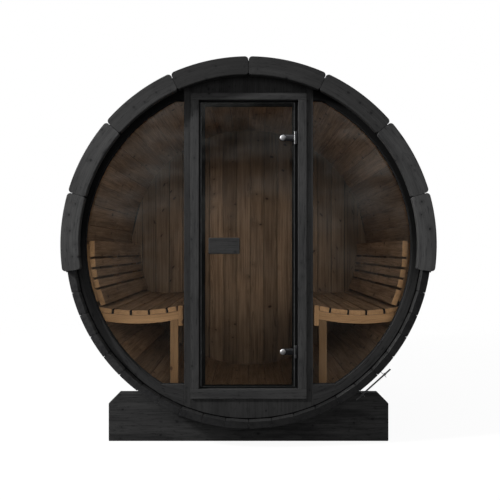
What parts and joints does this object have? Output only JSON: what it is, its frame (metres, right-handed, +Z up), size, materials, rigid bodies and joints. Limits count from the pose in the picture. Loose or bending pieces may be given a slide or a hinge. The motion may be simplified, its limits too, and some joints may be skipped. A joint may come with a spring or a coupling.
{
  "type": "barrel sauna",
  "caption": "Lying barrel cabin of dark stained staves on saddle cradles, with a glazed front, a hinged glass door, curved fascia boards, and slatted benches with backrests inside",
  "frame": {"origin": "On the ground under the middle of the barrel: the centre of the bounding box's bottom face", "axes": "+Z up, front with the door towards -Y, +X to the right as seen from the front, the barrel's axis along Y"},
  "size_m": [2.036, 1.88, 2.1468],
  "materials": {
    "stained_staves": "charcoal stain outside, heat treated brown inside",
    "stained_wood": "matt charcoal stain",
    "thermo_wood": "planed, heat treated",
    "bench_wood": "planed and sanded, heat treated",
    "tinted_glass": "clear toughened, smoke tint",
    "hoop_steel": "stainless band",
    "hinge_metal": "polished",
    "roof_felt": "mineral faced bitumen"
  },
  "bodies": {
    "cabin": {"top_staves": "stained_staves", "right_staves": "stained_staves", "bottom_staves": "stained_staves", "left_staves": "stained_staves", "front_hoop": "hoop_steel", "rear_hoop": "hoop_steel", "front_tensioner": "hoop_steel", "rear_tensioner": "hoop_steel", "front_cradle": "stained_wood", "rear_cradle": "stained_wood", "roof_covering": "roof_felt", "front_fascia": "stained_wood", "rear_fascia": "stained_wood", "left_post": "stained_wood", "right_post": "stained_wood", "header_panel": "stained_wood", "sill_panel": "stained_wood", "left_glass_frame": "stained_wood", "right_glass_frame": "stained_wood", "left_window": "tinted_glass", "right_window": "tinted_glass", "left_jamb": "stained_wood", "right_jamb": "stained_wood", "door_head": "stained_wood", "door_sill": "stained_wood", "door_stops": "stained_wood", "hinge_plates": "hinge_metal", "back_wall": "thermo_wood", "left_seat_slats": "bench_wood", "left_seat_bearers": "bench_wood", "left_seat_edge": "bench_wood", "left_seat_legs": "bench_wood", "left_backrest": "bench_wood", "left_backrest_battens": "bench_wood", "right_seat_slats": "bench_wood", "right_seat_bearers": "bench_wood", "right_seat_edge": "bench_wood", "right_seat_legs": "bench_wood", "right_backrest": "bench_wood", "right_backrest_battens": "bench_wood"},
    "door": {"door_glass": "tinted_glass", "hinge_arms": "hinge_metal", "outside_handle": "stained_wood", "inside_handle": "stained_wood"}
  },
  "joints": [
    {"name": "door_hinge", "type": "hinge", "parent": "cabin", "child": "door", "pos_m": [0.258, -0.845, 1.122], "axis": [0, 0, 1], "range_deg": [0, 110]}
  ]
}
